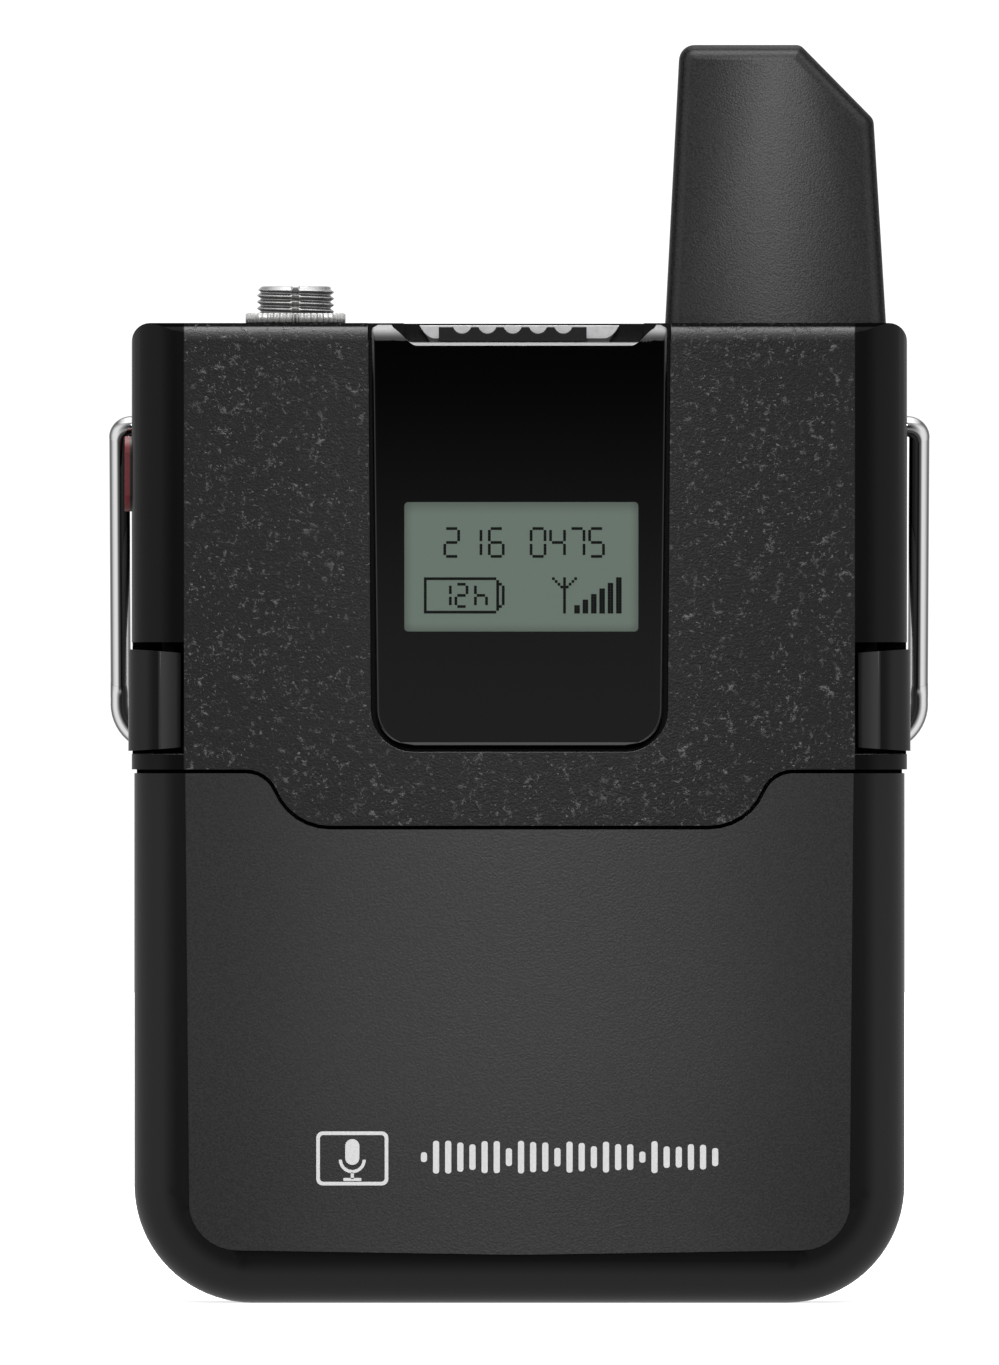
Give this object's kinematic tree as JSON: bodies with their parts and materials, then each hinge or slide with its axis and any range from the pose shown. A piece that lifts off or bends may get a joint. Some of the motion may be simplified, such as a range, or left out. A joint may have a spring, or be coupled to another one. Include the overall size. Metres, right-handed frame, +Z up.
{
  "type": "wireless bodypack transmitter",
  "caption": "Belt-worn radio microphone transmitter: upper unit with display, mute slide, threaded socket and flat antenna, slide-off battery pack, side latches and wire belt clip.",
  "frame": {"origin": "middle of the flat base, in the plane of the belt clip's pivots; the unit stands upright with the battery pack down", "axes": "+X to the viewer's right when the display faces the viewer, +Y from the display towards the belt clip, +Z up along the antenna"},
  "size_m": [0.064, 0.02, 0.098],
  "materials": {
    "case_plastic": "fine and coarse spark-eroded texture, near-black",
    "window_plastic": "gloss black window",
    "mask_print": "black print",
    "lcd_glass": "grey-green reflective liquid crystal",
    "white_plastic": "smooth white",
    "flex_film": "amber film",
    "board": "green solder mask",
    "shield_steel": "tinned steel",
    "chip_black": "moulded epoxy",
    "trim_plastic": "satin grey",
    "control_plastic": "satin black",
    "nickel": "nickel plated brass",
    "black_plastic": "glass-filled nylon",
    "contact_gold": "gold plated",
    "antenna_plastic": "fine texture, near-black",
    "button_red": "satin dark red",
    "lens": "frosted clear",
    "clip_chrome": "bright plated spring wire",
    "screw_black": "black zinc",
    "label_film": "silver-grey film, blank",
    "cell_foil": "pouch foil",
    "foam": "closed-cell foam"
  },
  "bodies": {
    "transmitter": {"front_housing": "case_plastic", "rear_housing": "case_plastic", "display_window": "window_plastic", "window_mask": "mask_print", "lcd_panel": "lcd_glass", "lcd_holder": "white_plastic", "display_flex": "flex_film", "main_board": "board", "rf_shield": "shield_steel", "board_components": "chip_black", "slide_switch": "shield_steel", "mute_trim": "trim_plastic", "jack_collar": "nickel", "jack_ring_nut": "nickel", "jack_socket": "black_plastic", "jack_contacts": "contact_gold", "antenna_cover": "antenna_plastic", "antenna_element": "contact_gold", "antenna_feed_spring": "contact_gold", "power_tact_switch": "shield_steel", "status_led_lens": "lens", "contact_carrier": "black_plastic", "contact_springs": "contact_gold", "latch_pins": "shield_steel", "latch_spring_left": "shield_steel", "latch_spring_right": "shield_steel", "housing_screws": "screw_black", "rating_label": "label_film"},
    "battery_pack": {"battery_front_housing": "case_plastic", "battery_rear_housing": "case_plastic", "battery_cell": "cell_foil", "cell_foam_pad": "foam", "protection_board": "board", "terminal_block": "black_plastic", "battery_terminals": "contact_gold", "usb_socket": "shield_steel", "usb_tongue": "black_plastic", "usb_board": "board", "charge_led_lens": "lens", "battery_screws": "screw_black", "battery_label": "label_film"},
    "mute_slider": {"mute_slider": "control_plastic"},
    "power_button": {"power_button": "button_red"},
    "latch_left": {"latch_left": "control_plastic"},
    "latch_right": {"latch_right": "control_plastic"},
    "belt_clip": {"belt_clip": "clip_chrome"}
  },
  "joints": [
    {"name": "battery_slide", "type": "slide", "parent": "transmitter", "child": "battery_pack", "axis": [0, 0, -1], "range_m": [0, 0.03]},
    {"name": "mute_slide", "type": "slide", "parent": "transmitter", "child": "mute_slider", "axis": [1, 0, 0], "range_m": [0, 0.002]},
    {"name": "power_press", "type": "slide", "parent": "transmitter", "child": "power_button", "axis": [1, 0, 0], "range_m": [0, 0.0004]},
    {"name": "latch_left_press", "type": "hinge", "parent": "transmitter", "child": "latch_left", "pos_m": [-0.0272, -0.0056, 0.04695], "axis": [0, 0, -1], "range_deg": [0, 6], "deforming": ["latch_spring_left"]},
    {"name": "latch_right_press", "type": "hinge", "parent": "transmitter", "child": "latch_right", "pos_m": [0.0272, -0.0056, 0.04695], "axis": [0, 0, 1], "range_deg": [0, 6], "deforming": ["latch_spring_right"]},
    {"name": "belt_clip_swing", "type": "hinge", "parent": "transmitter", "child": "belt_clip", "pos_m": [0, 0, 0.0683], "axis": [1, 0, 0], "range_deg": [0, 20]}
  ]
}
